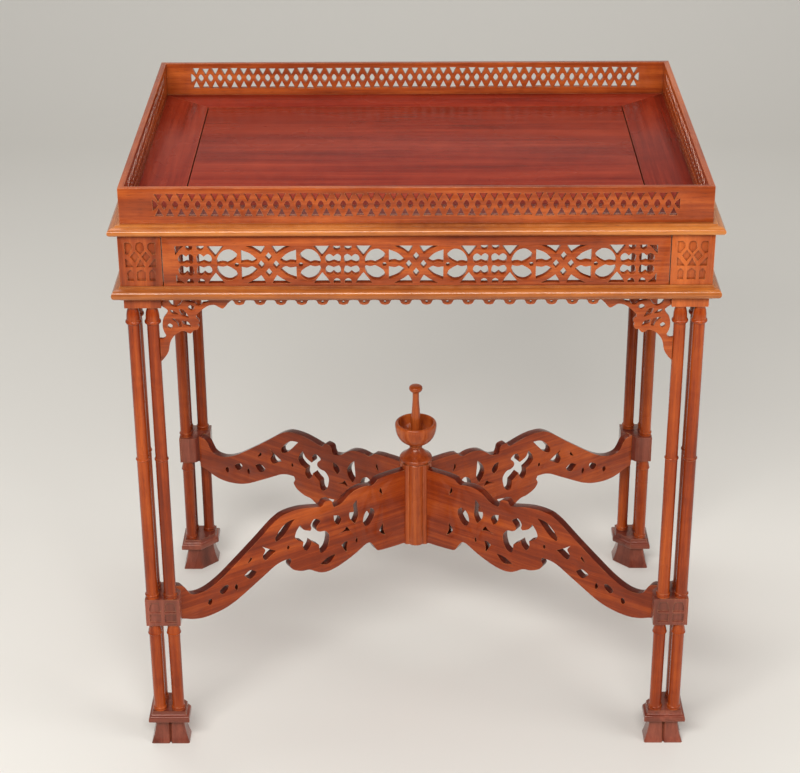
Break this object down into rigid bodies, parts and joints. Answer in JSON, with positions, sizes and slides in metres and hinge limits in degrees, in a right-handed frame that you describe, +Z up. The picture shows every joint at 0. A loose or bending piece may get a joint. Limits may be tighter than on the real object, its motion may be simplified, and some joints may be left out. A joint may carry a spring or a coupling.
{
  "type": "tray top tea table",
  "caption": "Rectangular tea table with a pierced gallery round its tray top, a fret frieze, cluster-shaft legs and crossed pierced stretchers that meet at a turned post and finial",
  "frame": {"origin": "on the floor, under the middle of the table", "axes": "+Z up, +X along the long side, -Y out of the front"},
  "size_m": [0.6864, 0.4864, 0.744],
  "materials": {
    "mahogany": "french polished",
    "tray_mahogany": "french polished"
  },
  "bodies": {
    "root": {"bracket_front_left": "mahogany", "bracket_front_right": "mahogany", "bracket_left_front": "mahogany", "bracket_left_rear": "mahogany", "bracket_rear_left": "mahogany", "bracket_rear_right": "mahogany", "bracket_right_front": "mahogany", "bracket_right_rear": "mahogany", "centre_post": "mahogany", "corner_stile_front_left": "mahogany", "corner_stile_front_right": "mahogany", "corner_stile_rear_left": "mahogany", "corner_stile_rear_right": "mahogany", "finial_cup": "mahogany", "finial_spindle": "mahogany", "foot_front_left": "mahogany", "foot_front_right": "mahogany", "foot_plate_front_left": "mahogany", "foot_plate_front_right": "mahogany", "foot_plate_rear_left": "mahogany", "foot_plate_rear_right": "mahogany", "foot_rear_left": "mahogany", "foot_rear_right": "mahogany", "frieze_front": "mahogany", "frieze_left": "mahogany", "frieze_rear": "mahogany", "frieze_right": "mahogany", "fringe_front": "mahogany", "fringe_left": "mahogany", "fringe_rear": "mahogany", "fringe_right": "mahogany", "gallery_front": "mahogany", "gallery_left": "mahogany", "gallery_rear": "mahogany", "gallery_right": "mahogany", "leg_shafts_front_left": "mahogany", "leg_shafts_front_right": "mahogany", "leg_shafts_rear_left": "mahogany", "leg_shafts_rear_right": "mahogany", "lower_moulding_front": "mahogany", "lower_moulding_left": "mahogany", "lower_moulding_rear": "mahogany", "lower_moulding_right": "mahogany", "mid_block_front_left": "mahogany", "mid_block_front_right": "mahogany", "mid_block_rear_left": "mahogany", "mid_block_rear_right": "mahogany", "stretcher_front_left": "mahogany", "stretcher_front_right": "mahogany", "stretcher_rear_left": "mahogany", "stretcher_rear_right": "mahogany", "top_moulding_front": "mahogany", "top_moulding_left": "mahogany", "top_moulding_rear": "mahogany", "top_moulding_right": "mahogany", "tray_border_front": "tray_mahogany", "tray_border_left": "tray_mahogany", "tray_border_rear": "tray_mahogany", "tray_border_right": "tray_mahogany", "tray_field_panel": "tray_mahogany"}
  },
  "joints": []
}
